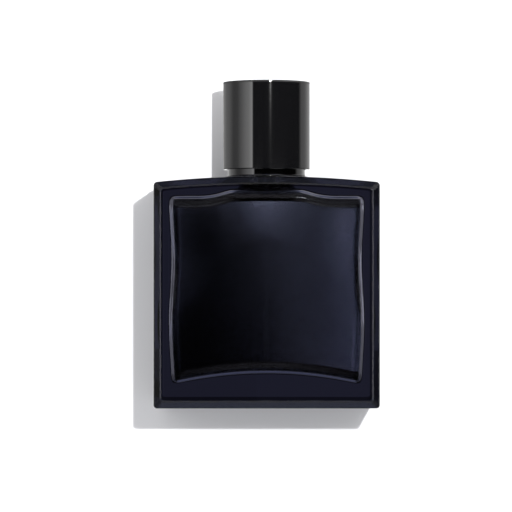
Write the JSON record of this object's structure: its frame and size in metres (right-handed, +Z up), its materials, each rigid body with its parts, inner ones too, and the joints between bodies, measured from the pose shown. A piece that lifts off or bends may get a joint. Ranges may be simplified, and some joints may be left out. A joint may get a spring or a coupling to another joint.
{
  "type": "aftershave bottle",
  "caption": "Square dark glass bottle with bevelled faces, a crimped spray pump, a metal collar and a pull-off cylindrical cap.",
  "frame": {"origin": "middle of the base, on the surface that the bottle stands on", "axes": "+Z up along the pump and the cap, +X across the square face, -Y the front, where the spray nozzle points"},
  "size_m": [0.072, 0.038, 0.1048],
  "materials": {
    "dark_glass": "polished dark navy glass",
    "lotion": "dark navy lotion",
    "clear_plastic": "natural polythene",
    "gasket_rubber": "matt grey rubber",
    "plain_aluminium": "satin pressed aluminium",
    "gunmetal": "polished gunmetal plating",
    "gloss_black": "polished black",
    "satin_plastic": "satin black",
    "white_plastic": "natural white",
    "steel": "bright drawn steel"
  },
  "bodies": {
    "bottle": {"glass_bottle": "dark_glass", "lotion": "lotion", "dip_tube": "clear_plastic", "neck_gasket": "gasket_rubber", "crimp_ferrule": "plain_aluminium", "collar_shell": "gunmetal", "collar_insert": "satin_plastic", "pump_housing": "satin_plastic", "return_spring": "steel", "stem_seal": "gasket_rubber", "stem_guide": "white_plastic"},
    "cap": {"cap_shell": "gloss_black", "cap_liner": "satin_plastic", "cap_weight": "steel"},
    "plunger": {"pump_stem": "white_plastic"},
    "button": {"button_core": "satin_plastic", "button_shell": "gunmetal", "nozzle_insert": "satin_plastic"},
    "pump_piston": {"piston": "white_plastic"},
    "valve": {"inlet_ball": "steel"}
  },
  "joints": [
    {"name": "cap_lift", "type": "slide", "parent": "bottle", "child": "cap", "axis": [0, 0, 1], "range_m": [0, 0.026]},
    {"name": "actuator_press", "type": "slide", "parent": "bottle", "child": "plunger", "axis": [0, 0, -1], "range_m": [0, 0.0032], "stiffness_N_per_m": 800, "springref_m": -0.003, "deforming": ["return_spring"]},
    {"name": "actuator_turn", "type": "hinge", "parent": "plunger", "child": "button", "pos_m": [0, 0, 0.09], "axis": [0, 0, 1], "continuous": true},
    {"name": "piston_slip", "type": "slide", "parent": "plunger", "child": "pump_piston", "axis": [0, 0, 1], "range_m": [0, 0.0003]},
    {"name": "inlet_ball_lift", "type": "slide", "parent": "bottle", "child": "valve", "axis": [0, 0, 1], "range_m": [0, 0.0018]}
  ]
}
